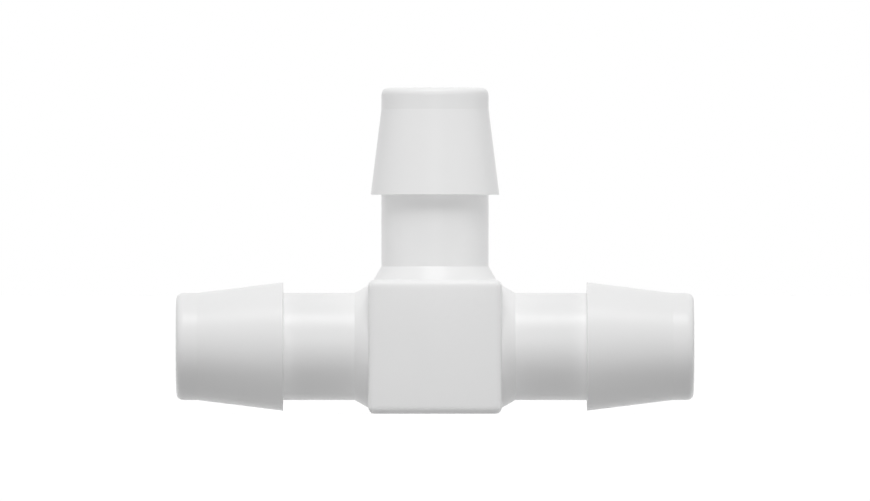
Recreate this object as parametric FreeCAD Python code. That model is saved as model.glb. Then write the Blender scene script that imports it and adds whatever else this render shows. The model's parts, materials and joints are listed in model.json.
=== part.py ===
import FreeCAD, Part
import math
import os

# Hose barb tee for soft hose of half-inch bore: one white plastic moulding.
# Three equal hollow stems leave a cube, two along X as the run and one along +Z as the branch.
# Each stem is a plain neck between a short flare at the cube and one long sharp barb at the tip.
# The three axes cross at the origin, and the tee stands on the cube's flat underside.
# Lengths are in millimetres, and the design's own sizes are inches.

INCH = 25.4

# Across the stem
neck_diameter = 0.500 * INCH
barb_diameter = 0.600 * INCH
bore_diameter = 0.375 * INCH

# Along the stem, from the crossing of the axes to the tip
stem_reach = 1.210 * INCH
barb_length = 0.500 * INCH
lead_in_length = 0.100 * INCH
flare_length = 0.0625 * INCH
flare_angle = 30.0

# The tip's rounded outer edge, and the bevel at the mouth of its bore
tip_radius = 0.03125 * INCH
mouth_bevel = 0.010 * INCH

# The cube in the middle
cube_side = 0.625 * INCH
cube_edge_radius = 0.03125 * INCH

# Degrees from +Z, about +Y, at which each stem leaves the crossing
stem_turns = {"branch": 0, "run_right": 90, "run_left": -90}

neck_radius = neck_diameter / 2
barb_radius = barb_diameter / 2
bore_radius = bore_diameter / 2
cube_face = cube_side / 2
flare_end = cube_face + flare_length
shoulder = stem_reach - barb_length
cone_end = stem_reach - lead_in_length

CROSSING = FreeCAD.Vector(0, 0, 0)
X_AXIS = FreeCAD.Vector(1, 0, 0)
Y_AXIS = FreeCAD.Vector(0, 1, 0)
Z_AXIS = FreeCAD.Vector(0, 0, 1)


def at(radius, height):
    """A point of a stem's half section: its distance from the axis, and its height above the crossing."""
    return X_AXIS * radius + Z_AXIS * height


def lines(*points):
    """The straight sides of a half section that join these points in turn."""
    return [Part.LineSegment(start, end).toShape() for start, end in zip(points, points[1:])]


def turned(sides):
    """The solid that a closed half section sweeps about the Z axis."""
    section = Part.Face(Part.Wire(sides))
    return section.revolve(CROSSING, Z_AXIS, 360)


def stem():
    """A stem before it is bored, standing on Z: flare, neck, square shoulder, cone, lead-in and rounded tip.

    The flare keeps its slope into the cube, down to where the rounded edges end, so it closes on them as well.
    """
    root = cube_face - cube_edge_radius
    root_radius = neck_radius + (flare_end - root) * math.tan(math.radians(flare_angle))
    round_start = at(neck_radius, stem_reach - tip_radius)
    round_end = at(neck_radius - tip_radius, stem_reach)
    round_centre = at(neck_radius - tip_radius, stem_reach - tip_radius)
    round_middle = round_centre + (X_AXIS + Z_AXIS).normalize() * tip_radius
    side = lines(
        at(0, root),
        at(root_radius, root),
        at(neck_radius, flare_end),
        at(neck_radius, shoulder),
        at(barb_radius, shoulder),
        at(neck_radius, cone_end),
        round_start,
    )
    tip_round = Part.Arc(round_start, round_middle, round_end).toShape()
    return turned(side + [tip_round] + lines(round_end, at(0, stem_reach), at(0, root)))


def bore():
    """The space inside a stem that stands on Z, from the crossing to just past the tip.

    At the mouth it opens at 45 degrees, and keeps that slope past the tip so that the bevel's edge is clean.
    """
    outside = stem_reach + mouth_bevel
    return turned(lines(
        CROSSING,
        at(bore_radius, 0),
        at(bore_radius, stem_reach - mouth_bevel),
        at(bore_radius + 2 * mouth_bevel, outside),
        at(0, outside),
        CROSSING,
    ))


def on_each_stem(shape):
    """Copies of a shape that stands on Z, turned about the crossing to every stem's direction."""
    copies = []
    for turn in stem_turns.values():
        copy = shape.copy()
        copy.rotate(CROSSING, Y_AXIS, turn)
        copies.append(copy)
    return copies


def cube():
    """The cube round the crossing, with its twelve edges rounded."""
    corner = FreeCAD.Vector(-cube_face, -cube_face, -cube_face)
    block = Part.makeBox(cube_side, cube_side, cube_side, corner)
    return block.makeFillet(cube_edge_radius, block.Edges)


def tee_body():
    """The whole moulding: the cube and its stems, with the bores opened into one another."""
    outside = cube().multiFuse(on_each_stem(stem()))
    first_bore, *other_bores = on_each_stem(bore())
    return outside.cut(first_bore.multiFuse(other_bores)).removeSplitter()


os.makedirs("parts", exist_ok=True)
body = tee_body()
body.exportStep("parts/tee_body.step")
print("tee_body: %d solid, %.1f cubic millimetres" % (len(body.Solids), body.Volume))
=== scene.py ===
import json
import math

import bpy
import numpy as np
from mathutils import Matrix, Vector


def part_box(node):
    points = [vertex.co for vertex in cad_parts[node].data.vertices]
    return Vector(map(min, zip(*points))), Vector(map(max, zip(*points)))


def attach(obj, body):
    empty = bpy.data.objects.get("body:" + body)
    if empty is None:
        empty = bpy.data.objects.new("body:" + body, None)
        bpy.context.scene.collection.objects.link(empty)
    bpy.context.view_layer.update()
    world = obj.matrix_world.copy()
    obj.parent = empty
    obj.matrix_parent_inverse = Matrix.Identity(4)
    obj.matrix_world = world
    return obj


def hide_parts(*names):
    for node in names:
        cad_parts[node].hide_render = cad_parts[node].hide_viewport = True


# A hose barb tee of white plastic, seen square from the front on a pale ground.
# Everything is in metres in the part's own frame: the three axes cross at the origin,
# the run lies along X, the branch points to +Z, and +Y leads from the front to the back.

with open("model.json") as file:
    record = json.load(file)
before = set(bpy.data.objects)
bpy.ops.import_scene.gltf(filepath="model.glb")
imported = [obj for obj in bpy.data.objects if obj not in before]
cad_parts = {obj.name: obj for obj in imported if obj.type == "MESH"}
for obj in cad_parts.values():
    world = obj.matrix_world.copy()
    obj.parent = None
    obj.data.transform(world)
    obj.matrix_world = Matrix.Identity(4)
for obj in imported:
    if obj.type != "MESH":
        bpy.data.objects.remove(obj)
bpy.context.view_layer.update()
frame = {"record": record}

INCH = 0.0254
MM = 0.001

# Sizes that the frame carries
lowest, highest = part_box("tee_body")
mounts = {mount["name"]: mount for mount in frame["record"]["mounts"]}
stem_reach = highest.x
cube_face = -lowest.z
neck_radius = mounts["hose_seat_right"]["dims"]["r_mm"] * MM
bore_radius = mounts["run_bore"]["dims"]["r_mm"] * MM

# The design's other sizes
barb_radius = 0.300 * INCH
barb_length = 0.500 * INCH
lead_in_length = 0.100 * INCH
flare_length = 0.0625 * INCH
flare_angle = math.radians(30)
tip_radius = 0.03125 * INCH
mouth_bevel = 0.010 * INCH
cube_edge_radius = 0.03125 * INCH

# The cube's edges and the tips leave their flats gently, and keep the middle of their true arc:
# |x|^3 + |y|^3 = width^3, the width measured on the flats
SOFTNESS = 3
soft_share = (1 - 2 ** -0.5) / (1 - 2 ** (-1 / SOFTNESS))
cube_edge_width = cube_edge_radius * soft_share
tip_width = tip_radius * soft_share

# The small rounds that any moulded edge has
flare_round = 0.12 * MM
shoulder_round = 0.10 * MM
barb_round = 0.045 * MM
cone_round = 0.80 * MM
mouth_round = 0.05 * MM

# The fine ridge that the two mould halves leave on the plane y = 0
ridge_height = 0.016 * MM
ridge_half_width = 0.08 * MM
TIP_FADE = 1.3           # how fast it fades over a tip's round: 1 would end it where the round ends
RIDGE_END = 0.9          # share of that round's width, inwards, beyond which nothing of it is left
TRIM_FROM = 0.75         # the underside is trimmed flat: how far down a normal points where that starts
TRIM_OVER = 0.2          # and over how much more the ridge goes
OFF_RIDGE = 9.0          # a share of the ridge's half width that lies well off it

# Steps of the mesh
SIDE_STEPS = 48          # columns to a quarter turn, and to a side of the cube
CORNER_STEPS = 7         # of those, the ones in each rounded edge
RIDGE_STEPS = 3          # columns on each side of the ridge's middle
FACE_RINGS = 12          # rings between a flare and the edge of its side of the cube
TIP_STEPS = 8            # steps in each half of a tip's round
LEAST_STEPS = 2          # steps in any other round of a profile, at least
LARGEST_TURN = 9         # degrees that a step of such a round turns, at most
JUNCTION_PASSES = 30     # passes of the search for the line between flare and cube

flare_end = cube_face + flare_length
flare_slope = math.tan(flare_angle)
shoulder = stem_reach - barb_length
cone_end = stem_reach - lead_in_length
cube_flat = cube_face - cube_edge_width
tip_start = stem_reach - tip_width

X = Vector((1, 0, 0))
Y = Vector((0, 1, 0))
Z = Vector((0, 0, 1))
# Each side of the cube: its outward axis, and two axes across it that make a right-handed set
SIDES = {
    "right": (X, Y, Z),
    "left": (-X, Z, Y),
    "top": (Z, X, Y),
    "under": (-Z, Y, X),
    "back": (Y, Z, X),
    "front": (-Y, X, Z),
}
STEMS = ("right", "left", "top")


class Skin:
    """Faces whose corners know their exact normals, joined wherever two corners share a place.

    Places in one cell of a fine grid are one corner. The shift keeps round numbers off the cells' borders.
    """

    GRID = 1e-7
    SHIFT = 0.3183

    def __init__(self):
        self.places = []
        self.index = {}
        self.faces = []
        self.normals = []

    def corner(self, place):
        """The number of the corner at this place, a new one if there is none yet."""
        key = tuple(math.floor(value / self.GRID + self.SHIFT) for value in place)
        if key not in self.index:
            self.index[key] = len(self.places)
            self.places.append(tuple(place))
        return self.index[key]

    def face(self, corners):
        """Adds a face of (place, normal) pairs in order; a corner that repeats is dropped."""
        kept = []
        for place, normal in corners:
            number = self.corner(place)
            if number not in [n for n, _ in kept]:
                kept.append((number, normal))
        if len(kept) > 2:
            self.faces.append([n for n, _ in kept])
            self.normals.extend(tuple(normal) for _, normal in kept)

    def weave(self, rows):
        """Adds quads between neighbouring rows, which run the same way and are of one length."""
        for low, high in zip(rows, rows[1:]):
            for j in range(len(low) - 1):
                self.face([low[j], low[j + 1], high[j + 1], high[j]])

    def mesh(self, name):
        made = bpy.data.meshes.new(name)
        made.from_pydata(self.places, [], self.faces)
        made.polygons.foreach_set("use_smooth", [True] * len(self.faces))
        made.normals_split_custom_set(self.normals)
        made.update()
        return made


def outward(way):
    """The outward normal of a profile that runs this way: the plastic lies on its left."""
    return np.array((way[1], -way[0]))


def spun(vector, angle):
    """A vector turned by this angle."""
    c, s = math.cos(angle), math.sin(angle)
    return np.array((c * vector[0] - s * vector[1], s * vector[0] + c * vector[1]))


def rounded(corners):
    """A profile through (radius, height, round) corners, as steps of a point and its normal.

    It walks from the cube to the tip or back down the bore, with the plastic on its left.
    """
    points = [np.array(corner[:2]) for corner in corners]
    steps = []
    for i, point in enumerate(points):
        before = point - points[i - 1] if i else None
        after = points[i + 1] - point if i + 1 < len(points) else None
        ways = [way / np.linalg.norm(way) for way in (before, after) if way is not None]
        if len(ways) == 1:
            steps.append((point, outward(ways[0])))
            continue
        come, leave = ways
        radius = corners[i][2]
        turn = math.atan2(come[0] * leave[1] - come[1] * leave[0], float(come @ leave))
        side = math.copysign(1, turn)
        reach = radius * abs(math.tan(turn / 2))
        start = point - come * reach
        centre = start - side * outward(come) * radius
        count = max(LEAST_STEPS, math.ceil(abs(turn) / math.radians(LARGEST_TURN)))
        for k in range(count + 1):
            normal = spun(outward(come), turn * k / count)
            steps.append((centre + side * normal * radius, normal))
    return steps


def soft_tip():
    """The steps round a tip, from the outside to the flat of its mouth."""
    corner = np.array((neck_radius - tip_width, tip_start))
    steps = []
    for k in range(2 * TIP_STEPS + 1):
        up = min(k / TIP_STEPS, 1.0)
        out = min(2 - k / TIP_STEPS, 1.0)
        size = (up ** SOFTNESS + out ** SOFTNESS) ** (1 / SOFTNESS)
        normal = np.array((out, up)) ** (SOFTNESS - 1)
        steps.append((corner + np.array((out, up)) * tip_width / size, normal / np.linalg.norm(normal)))
    return steps


def profile():
    """The stem's profile from the flare's foot over the tip and down the bore, as points and normals."""
    outside = rounded([
        (neck_radius + flare_length * flare_slope, cube_face, 0),
        (neck_radius, flare_end, flare_round),
        (neck_radius, shoulder, shoulder_round),
        (barb_radius, shoulder, barb_round),
        (neck_radius, cone_end, cone_round),
        (neck_radius, tip_start, 0),
    ])
    inside = rounded([
        (neck_radius - tip_width, stem_reach, 0),
        (bore_radius + mouth_bevel, stem_reach, mouth_round),
        (bore_radius, stem_reach - mouth_bevel, mouth_round),
        (bore_radius, bore_radius, 0),
    ])
    return outside[:-1] + soft_tip() + inside[1:]


def columns(crosses_ridge):
    """The columns of a quarter turn and of the side of the cube that faces it.

    Each is an angle from the middle, a place along the side, and a share of the ridge's half width.
    Places are 1 where the flat ends and 2 at the edge's middle.
    """
    edge = [1 + k / CORNER_STEPS for k in range(CORNER_STEPS + 1)]
    flat_steps = SIDE_STEPS - 2 * CORNER_STEPS
    flat = [-1 + 2 * k / flat_steps for k in range(flat_steps + 1)]
    places = [-value for value in reversed(edge[1:])] + flat + edge[1:]
    angles = [math.radians(-45 + 90 * k / SIDE_STEPS) for k in range(SIDE_STEPS + 1)]
    found = [(angle, place, OFF_RIDGE) for angle, place in zip(angles, places)]
    if not crosses_ridge:
        return found
    middle = SIDE_STEPS // 2
    shares = [k / RIDGE_STEPS for k in range(-RIDGE_STEPS, RIDGE_STEPS + 1)]
    fine = [(ridge_half_width / neck_radius * s, ridge_half_width / cube_flat * s, s) for s in shares]
    return found[:middle] + fine + found[middle + 1:]


def quarters(side):
    """The side's quarter turns: the angle of each one's middle, and its columns."""
    _, a, b = SIDES[side]
    for k, middle in enumerate((a, b, -a, -b)):
        yield k * math.pi / 2, columns(middle.y == 0)


def in_frame(side, across_a, across_b, out):
    """A vector in the part's frame, from its parts along a side's axes."""
    axis, a, b = SIDES[side]
    return a * across_a + b * across_b + axis * out


def on_cube(u, v):
    """A place on a side of the cube, and its normal, in (across, across, out) parts."""
    def split(value):
        flat = max(-1.0, min(1.0, value))
        return flat * cube_flat, value - flat
    (a, past_a), (b, past_b) = split(u), split(v)
    power = SOFTNESS - 1
    size = (abs(past_a) ** SOFTNESS + abs(past_b) ** SOFTNESS + 1) ** (1 / SOFTNESS)
    lean_a = math.copysign(abs(past_a) ** power, past_a)
    lean_b = math.copysign(abs(past_b) ** power, past_b)
    place = Vector((a, b, cube_flat)) + Vector((past_a, past_b, 1)) * (cube_edge_width / size)
    return place, Vector((lean_a, lean_b, 1)).normalized()


def place_of(value):
    """The inverse of on_cube along one axis, where the other axis's round doesn't reach."""
    past = (abs(value) - cube_flat) / cube_edge_width
    if past <= 0:
        return value / cube_flat
    return math.copysign(1 + past / (1 - past ** SOFTNESS) ** (1 / SOFTNESS), value)


def rim(turn, place):
    """The place on the rim of a side of the cube that a quarter turn's column ends at."""
    c, s = round(math.cos(turn)), round(math.sin(turn))
    return 2 * c - place * s, 2 * s + place * c


def junction(angle):
    """Where the flare's slope meets the cube at this angle, in (across, across, out) parts."""
    c, s = math.cos(angle), math.sin(angle)
    height = cube_face
    for _ in range(JUNCTION_PASSES):
        radius = neck_radius + (flare_end - height) * flare_slope
        past = max(abs(radius * c), abs(radius * s)) - cube_flat
        height = cube_flat + (cube_edge_width ** SOFTNESS - max(past, 0.0) ** SOFTNESS) ** (1 / SOFTNESS)
    return radius * c, radius * s, height


def ridge_lift(share, y, keep=1.0):
    """The ridge's height and its slope along Y at a share of its half width, on the side that y is on.

    keep is how much of the ridge is left there.
    """
    if abs(share) >= 1:
        return 0.0, 0.0
    side = math.copysign(1, y) if share else 0.0
    rise = (1 - share * share) ** 2
    fall = abs(4 * share * (1 - share * share))
    return rise * ridge_height * keep, -fall * side * ridge_height * keep / ridge_half_width


def lifted(place, normal, height, slope, way=None):
    """A corner raised by the ridge along its normal, or another way: its place and its leaned normal."""
    return place + (way or normal) * height, (normal - Y * slope).normalized()


def seam(side, angle):
    """How a corner on the line between flare and cube moves for each unit that both surfaces rise."""
    across_a, across_b, _ = junction(angle)
    _, cube_normal = on_cube(place_of(across_a), place_of(across_b))
    spoke = in_frame(side, math.cos(angle), math.sin(angle), 0)
    flare = spoke * math.cos(flare_angle) + SIDES[side][0] * math.sin(flare_angle)
    cube = in_frame(side, *cube_normal)
    return (flare + cube) / (1 + flare.dot(cube))


def ridge_left(radius, height):
    """How much of the ridge is left at a point of a stem's profile.

    It fades out over the tip, and the bores have none.
    """
    if radius < neck_radius - tip_width * RIDGE_END:
        return 0.0
    return 1 - min(1.0, max(0.0, (height - tip_start) / tip_width * TIP_FADE))


def stem(skin, side):
    """The stem's skin from the cube to the tip and down its bore to the crossing."""
    axis = SIDES[side][0]
    steps = profile()
    for turn, found in quarters(side):
        rows = [[] for _ in range(len(steps) + 1)]
        for off_middle, _, share in found:
            angle = turn + off_middle
            spoke = in_frame(side, math.cos(angle), math.sin(angle), 0)
            normals = [spoke * across + axis * along for _, (across, along) in steps]
            foot = in_frame(side, *junction(angle))
            rows[0].append(lifted(foot, normals[0], *ridge_lift(share, spoke.y), seam(side, angle)))
            for row, ((radius, height), _), normal in zip(rows[1:], steps[1:], normals[1:]):
                lift = ridge_lift(share, spoke.y, ridge_left(radius, height))
                row.append(lifted(spoke * radius + axis * height, normal, *lift))
            # The bores end where they meet: on planes at 45 degrees above, on x = 0 below
            depth = abs(spoke.x) if side == "top" else max(0.0, spoke.z)
            rows[-1].append((spoke * bore_radius + axis * bore_radius * depth, -spoke))
        skin.weave([list(reversed(row)) for row in reversed(rows)])


def cube_side_round_stem(skin, side):
    """A side of the cube, from the foot of the flare out to the middle of its rounded edges."""
    for turn, found in quarters(side):
        rows = []
        for ring in range(FACE_RINGS + 1):
            share_out = ring / FACE_RINGS
            row = []
            for off_middle, place, share in found:
                angle = turn + off_middle
                foot = junction(angle)
                inner = (place_of(foot[0]), place_of(foot[1]))
                u, v = (i + (o - i) * share_out for i, o in zip(inner, rim(turn, place)))
                spot, flat_normal = on_cube(u, v)
                normal = in_frame(side, *flat_normal)
                lift = ridge_lift(share, in_frame(side, *spot).y)
                if ring == 0:
                    row.append(lifted(in_frame(side, *foot), normal, *lift, seam(side, angle)))
                else:
                    row.append(lifted(in_frame(side, *spot), normal, *lift))
            rows.append(row)
        skin.weave([list(reversed(row)) for row in rows])


def plain_cube_side(skin, side):
    """A side of the cube with no stem on it.

    The ridge crosses only the underside, and is trimmed off its flat.
    """
    axis, a, _ = SIDES[side]
    rows = []
    for _, v, _ in columns(False):
        row = []
        for _, u, share in columns(a.y != 0):
            spot, flat_normal = on_cube(u, v)
            place, normal = in_frame(side, *spot), in_frame(side, *flat_normal)
            keep = 1 - max(0.0, min(1.0, (normal.dot(axis) - TRIM_FROM) / TRIM_OVER))
            row.append(lifted(place, normal, *ridge_lift(share, place.y, keep)))
        rows.append(row)
    skin.weave(rows)


# The range that most of a noise lies in
NOISE_LOW = 0.3
NOISE_HIGH = 0.7


class Wires:
    """The node tree of a material or of the world, with short ways to add to it."""

    def __init__(self, tree):
        self.nodes = tree.nodes
        self.links = tree.links

    def add(self, kind):
        return self.nodes.new("ShaderNode" + kind)

    def feed(self, socket, value):
        """Sets a socket to a number, or links another socket to it."""
        if isinstance(value, (int, float)):
            socket.default_value = value
        else:
            self.links.new(value, socket)

    def calc(self, operation, first, second=0.0):
        """A Math node fed by sockets or numbers; returns its output."""
        node = self.add("Math")
        node.operation = operation
        self.feed(node.inputs[0], first)
        self.feed(node.inputs[1], second)
        return node.outputs[0]

    def vector(self, operation, first, second=(0.0, 0.0, 0.0)):
        """A Vector Math node fed by a socket and a plain vector."""
        node = self.add("VectorMath")
        node.operation = operation
        self.links.new(first, node.inputs[0])
        node.inputs[1].default_value = second
        return node

    def noise(self, place, size, detail):
        """A noise, 0 to 1, whose spots are about this large, with this many finer layers."""
        node = self.add("TexNoise")
        self.links.new(place, node.inputs["Vector"])
        node.inputs["Scale"].default_value = 1 / size
        node.inputs["Detail"].default_value = detail
        return node.outputs["Fac"]

    def spread(self, value, low, high):
        """The middle of a noise's range laid out between two numbers."""
        node = self.add("MapRange")
        node.inputs["From Min"].default_value = NOISE_LOW
        node.inputs["From Max"].default_value = NOISE_HIGH
        node.inputs["To Min"].default_value = low
        node.inputs["To Max"].default_value = high
        self.links.new(value, node.inputs["Value"])
        return node.outputs["Result"]

    def from_axis(self, first, second):
        """The distance from the axis on which both these coordinates are 0."""
        squares = [self.calc("MULTIPLY", part, part) for part in (first, second)]
        return self.calc("SQRT", self.calc("ADD", *squares))

    def seen_rays(self):
        """1 for rays that show the ground and the backdrop: the camera's, and those in gloss and glass."""
        path = self.add("LightPath")
        found = self.calc("MAXIMUM", path.outputs["Is Camera Ray"], path.outputs["Is Glossy Ray"])
        return self.calc("MAXIMUM", found, path.outputs["Is Transmission Ray"])

    def white(self, kind, strength):
        """A white Background or Emission; its strength is a number or a socket."""
        node = self.add(kind)
        node.inputs["Color"].default_value = (1, 1, 1, 1)
        self.feed(node.inputs["Strength"], strength)
        return node.outputs[0]

    def joined(self, kind, *sockets):
        """A Mix or Add shader fed by these sockets in order."""
        node = self.add(kind)
        for i, socket in enumerate(sockets):
            self.links.new(socket, node.inputs[i])
        return node.outputs[0]

    def output(self, kind, surface):
        """Links the surface to an output node of this kind."""
        self.links.new(surface, self.add(kind).inputs["Surface"])


# The plastic: of each noise, the size of its spots and how many finer layers it has
PLASTIC_INDEX = 1.38
TONE_NOISE = (7 * MM, 3)
TONES = (0.894, 0.906)
PATCH_NOISE = (1.6 * MM, 2)
ROUGHNESSES = (0.28, 0.32)
BORE_SMOOTHER = 0.06
GRAIN_NOISE = (0.11 * MM, 2)
GRAIN_HEIGHT = 0.0016 * MM
SWELL_NOISE = (0.7 * MM, 1)
SWELL_HEIGHT = 0.0020 * MM
LINE_NOISE = (0.16 * MM, 1)
LINE_SQUEEZE = 0.02
LINE_HEIGHT = 0.0020 * MM


def white_plastic():
    """Opaque white plastic: the satin of a blasted mould outside, smoother bores with fine pin lines."""
    material = bpy.data.materials.new("white_plastic")
    material.use_nodes = True
    wires = Wires(material.node_tree)
    calc = wires.calc
    noise = wires.noise
    link = wires.links.new
    shader = wires.nodes["Principled BSDF"]
    shader.inputs["IOR"].default_value = PLASTIC_INDEX
    place = wires.add("TexCoord").outputs["Object"]
    split = wires.add("SeparateXYZ")
    link(place, split.inputs[0])
    x, y, z = split.outputs

    tone = wires.spread(noise(place, *TONE_NOISE), *TONES)
    colour = wires.add("CombineColor")
    for part in colour.inputs[:3]:
        link(tone, part)
    link(colour.outputs[0], shader.inputs["Base Color"])

    # 1 on the walls of the bores
    limit = bore_radius + mouth_bevel / 2
    in_run = calc("LESS_THAN", wires.from_axis(y, z), limit)
    near_branch = calc("LESS_THAN", wires.from_axis(x, y), limit)
    in_bore = calc("MAXIMUM", in_run, calc("MULTIPLY", near_branch, calc("GREATER_THAN", z, 0.0)))
    outside = calc("SUBTRACT", 1.0, in_bore)

    satin = wires.spread(noise(place, *PATCH_NOISE), *ROUGHNESSES)
    smoother = calc("MULTIPLY", in_bore, BORE_SMOOTHER)
    link(calc("SUBTRACT", satin, smoother), shader.inputs["Roughness"])

    # Grain and swell outside, and lines along each bore: a place squeezed along an axis lengthens the spots
    grain = calc("MULTIPLY", noise(place, *GRAIN_NOISE), GRAIN_HEIGHT)
    swell = calc("MULTIPLY", noise(place, *SWELL_NOISE), SWELL_HEIGHT)
    skin_height = calc("MULTIPLY", calc("ADD", grain, swell), outside)
    along_run = wires.vector("MULTIPLY", place, (LINE_SQUEEZE, 1, 1)).outputs["Vector"]
    along_branch = wires.vector("MULTIPLY", place, (1, 1, LINE_SQUEEZE)).outputs["Vector"]
    run_lines = calc("MULTIPLY", noise(along_run, *LINE_NOISE), in_run)
    only_branch = calc("SUBTRACT", in_bore, in_run)
    branch_lines = calc("MULTIPLY", noise(along_branch, *LINE_NOISE), only_branch)
    bore_height = calc("MULTIPLY", calc("ADD", run_lines, branch_lines), LINE_HEIGHT)
    # The height is in metres already, so the bump takes it as it is
    bump = wires.add("Bump")
    bump.inputs["Strength"].default_value = 1.0
    bump.inputs["Distance"].default_value = 1.0
    link(calc("ADD", skin_height, bore_height), bump.inputs["Height"])
    link(bump.outputs[0], shader.inputs["Normal"])
    return material


skin = Skin()
for name in SIDES:
    if name in STEMS:
        stem(skin, name)
        cube_side_round_stem(skin, name)
    else:
        plain_cube_side(skin, name)

moulding = bpy.data.objects.new("tee_moulding", skin.mesh("tee_moulding"))
bpy.context.scene.collection.objects.link(moulding)
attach(moulding, "root")
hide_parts("tee_body")
moulding.data.materials.append(white_plastic())

# The camera: square to the front, and so far away that the picture has next to no perspective
PICTURE_WIDTH = 870
PIXELS_PER_METRE = 8421.0
SENSOR = 36.0
LENS = 800.0
CAMERA_RISE = 0.010 * MM
CLIP_NEAR = 0.1
CLIP_FAR = 20.0

camera_data = bpy.data.cameras.new("camera")
camera_data.lens = LENS
camera_data.sensor_width = SENSOR
camera_data.clip_start = CLIP_NEAR
camera_data.clip_end = CLIP_FAR
camera = bpy.data.objects.new("camera", camera_data)
bpy.context.scene.collection.objects.link(camera)
camera_distance = PICTURE_WIDTH / PIXELS_PER_METRE * LENS / SENSOR
middle = (lowest + highest) / 2
camera.location = (0.0, -camera_distance, middle.z + CAMERA_RISE)
camera.rotation_euler = (math.radians(90), 0, 0)
bpy.context.scene.camera = camera

# The light and the ground, with angles in degrees

# The key: a wide softbox above the front, which leaves the barbs' shadows on the necks
KEY_DISTANCE = 0.250
KEY_ELEVATION = 62
KEY_WIDTH = 0.150
KEY_HEIGHT = 0.090
KEY_RADIANCE = 4.85

# The fill: a weak one low before the branch
FILL_PLACE = Vector((0.0, -0.120, 0.030))
FILL_AIM = Vector((0.0, 0.0, 0.015))
FILL_SIDE = 0.050
FILL_RADIANCE = 1.42

# The kicker: a narrow spot from below, which lights the corner under the branch's shoulder
KICKER_AIM = Vector((0.0, -0.0068, 0.0178))
KICKER_DISTANCE = 0.090
KICKER_ELEVATION = -50
KICKER_SPREAD = 13
KICKER_BLEND = 0.6
KICKER_RADIUS = 0.004
KICKER_STRENGTH = 0.062

# The soft surroundings: direction (azimuth from the front, elevation), how narrow, and how bright
GLOWS = (
    (0, -30, 8.8, 1.20),
    (0, 60, 8.8, 1.68),
    (90, 0, 8.8, 1.02),
    (90, 30, 8.8, 0.86),
    (180, -60, 20.0, 0.80),
    (180, -30, 8.8, 1.30),
    (180, 0, 2.0, 0.80),
)

FLOOR_HALF_SIZE = 6.0
FLOOR_GAP = 0.02 * MM
FLOOR_GLOW = 0.50
FLOOR_COLOUR = 0.90
floor_height = lowest.z - FLOOR_GAP

# The pool of light that the key leaves on the ground in front, which lights the undersides
POOL_DISTANCE = 0.050
POOL_RADIUS = 0.040
POOL_RADIANCE = 0.344
POOL_HALF_SIZE = 0.150
pool_height = floor_height - FLOOR_GAP


def direction(azimuth, elevation):
    """A unit vector towards this azimuth, in degrees from the front, and elevation."""
    a, e = math.radians(azimuth), math.radians(elevation)
    return Vector((math.sin(a) * math.cos(e), -math.cos(a) * math.cos(e), math.sin(e)))


def lamp(data, place, aim):
    """Stands a lamp on the middle plane x = 0, facing another place on it; the camera doesn't see it."""
    light = bpy.data.objects.new(data.name, data)
    light.location = place
    light.rotation_euler = (math.atan2(aim.y - place.y, place.z - aim.z), 0, 0)
    light.visible_camera = False
    bpy.context.scene.collection.objects.link(light)


def softbox(name, place, aim, width, height, radiance):
    """A soft rectangular lamp of this radiance."""
    data = bpy.data.lights.new(name, "AREA")
    data.shape = "RECTANGLE"
    data.size = width
    data.size_y = height
    data.energy = math.pi * width * height * radiance
    lamp(data, place, aim)


def kicker():
    """A narrow spot; its strength is what it adds to a white matt surface that faces it."""
    data = bpy.data.lights.new("kicker", "SPOT")
    data.spot_size = math.radians(KICKER_SPREAD)
    data.spot_blend = KICKER_BLEND
    data.shadow_soft_size = KICKER_RADIUS
    data.energy = (2 * math.pi * KICKER_DISTANCE) ** 2 * KICKER_STRENGTH
    lamp(data, KICKER_AIM + direction(0, KICKER_ELEVATION) * KICKER_DISTANCE, KICKER_AIM)


def studio_world():
    """White where it is seen; soft glows from the front, the sides and behind where it lights."""
    made = bpy.data.worlds.new("studio")
    made.use_nodes = True
    wires = Wires(made.node_tree)
    wires.nodes.clear()
    parts = wires.add("SeparateXYZ")
    wires.links.new(wires.add("TexCoord").outputs["Generated"], parts.inputs[0])
    # The glows are the same on the left as on the right
    mirrored = wires.add("CombineXYZ")
    wires.links.new(wires.calc("ABSOLUTE", parts.outputs["X"]), mirrored.inputs["X"])
    wires.links.new(parts.outputs["Y"], mirrored.inputs["Y"])
    wires.links.new(parts.outputs["Z"], mirrored.inputs["Z"])
    total = 0.0
    for azimuth, elevation, narrowness, strength in GLOWS:
        facing = wires.vector("DOT_PRODUCT", mirrored.outputs[0], direction(azimuth, elevation))
        lit = wires.calc("MAXIMUM", facing.outputs["Value"], 0.0)
        shaped = wires.calc("POWER", lit, narrowness)
        total = wires.calc("ADD", total, wires.calc("MULTIPLY", shaped, strength))
    glow = wires.white("Background", total)
    white = wires.white("Background", 1.0)
    wires.output("OutputWorld", wires.joined("MixShader", wires.seen_rays(), glow, white))
    # Gloss then meets the white alone, and never the glows as well
    made.cycles.sampling_method = "NONE"
    return made


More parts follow.
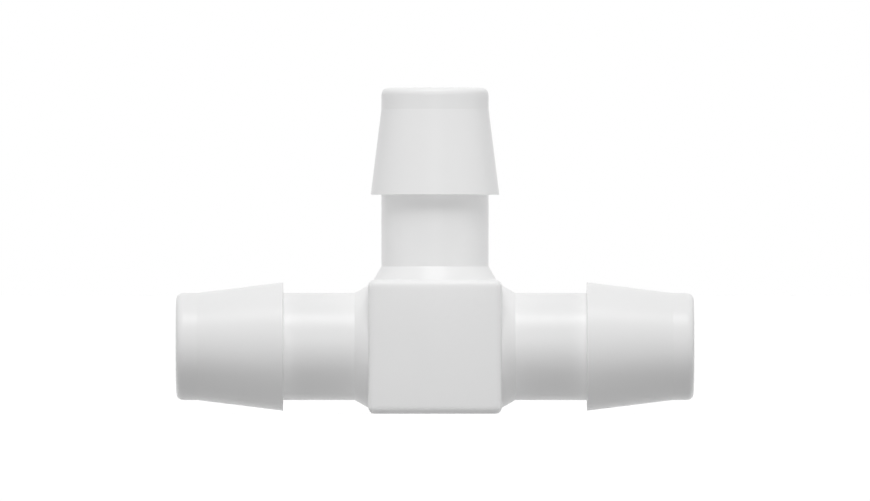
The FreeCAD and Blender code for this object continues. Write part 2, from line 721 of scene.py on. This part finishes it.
def sheet_of(name, half_size, middle_y, height):
    """A level square of the stage, and the wires of its empty material."""
    near, far = middle_y - half_size, middle_y + half_size
    corners = [
        (-half_size, near, height),
        (half_size, near, height),
        (half_size, far, height),
        (-half_size, far, height),
    ]
    mesh = bpy.data.meshes.new(name)
    mesh.from_pydata(corners, [], [(0, 1, 2, 3)])
    square = bpy.data.objects.new(name, mesh)
    bpy.context.scene.collection.objects.link(square)
    material = bpy.data.materials.new(name)
    material.use_nodes = True
    material.node_tree.nodes.clear()
    mesh.materials.append(material)
    return square, Wires(material.node_tree)


def ground():
    """A white floor under the cube that keeps the soft shadow.

    It throws no light up, and isn't there from below.
    """
    floor, wires = sheet_of("ground", FLOOR_HALF_SIZE, 0.0, floor_height)
    matt = wires.add("BsdfDiffuse")
    matt.inputs["Color"].default_value = (FLOOR_COLOUR, FLOOR_COLOUR, FLOOR_COLOUR, 1)
    glow = wires.white("Emission", wires.calc("MULTIPLY", wires.seen_rays(), FLOOR_GLOW))
    both = wires.joined("AddShader", matt.outputs[0], glow)
    from_below = wires.add("NewGeometry").outputs["Backfacing"]
    nothing = wires.add("BsdfTransparent").outputs[0]
    wires.output("OutputMaterial", wires.joined("MixShader", from_below, both, nothing))
    floor.visible_diffuse = False
    floor.visible_shadow = False


def pool_of_light():
    """The light that the ground in front throws back, as a glow that fades outward and hides nothing."""
    pool, wires = sheet_of("ground_pool", POOL_HALF_SIZE, -POOL_DISTANCE, pool_height)
    place = wires.add("TexCoord").outputs["Object"]
    centred = wires.vector("SUBTRACT", place, (0.0, -POOL_DISTANCE, pool_height))
    length = wires.vector("LENGTH", centred.outputs["Vector"])
    share = wires.calc("DIVIDE", length.outputs["Value"], POOL_RADIUS)
    square = wires.calc("MULTIPLY", share, share)
    fade = wires.calc("EXPONENT", wires.calc("MULTIPLY", square, -1.0))
    glow = wires.white("Emission", wires.calc("MULTIPLY", fade, POOL_RADIANCE))
    nothing = wires.add("BsdfTransparent").outputs[0]
    wires.output("OutputMaterial", wires.joined("AddShader", nothing, glow))
    pool.visible_camera = False
    pool.visible_glossy = False
    pool.visible_transmission = False
    pool.visible_shadow = False


softbox("key", direction(0, KEY_ELEVATION) * KEY_DISTANCE, Vector(), KEY_WIDTH, KEY_HEIGHT, KEY_RADIANCE)
softbox("fill", FILL_PLACE, FILL_AIM, FILL_SIDE, FILL_SIDE, FILL_RADIANCE)
kicker()
bpy.context.scene.world = studio_world()
ground()
pool_of_light()

bpy.context.scene.view_settings.view_transform = "Standard"
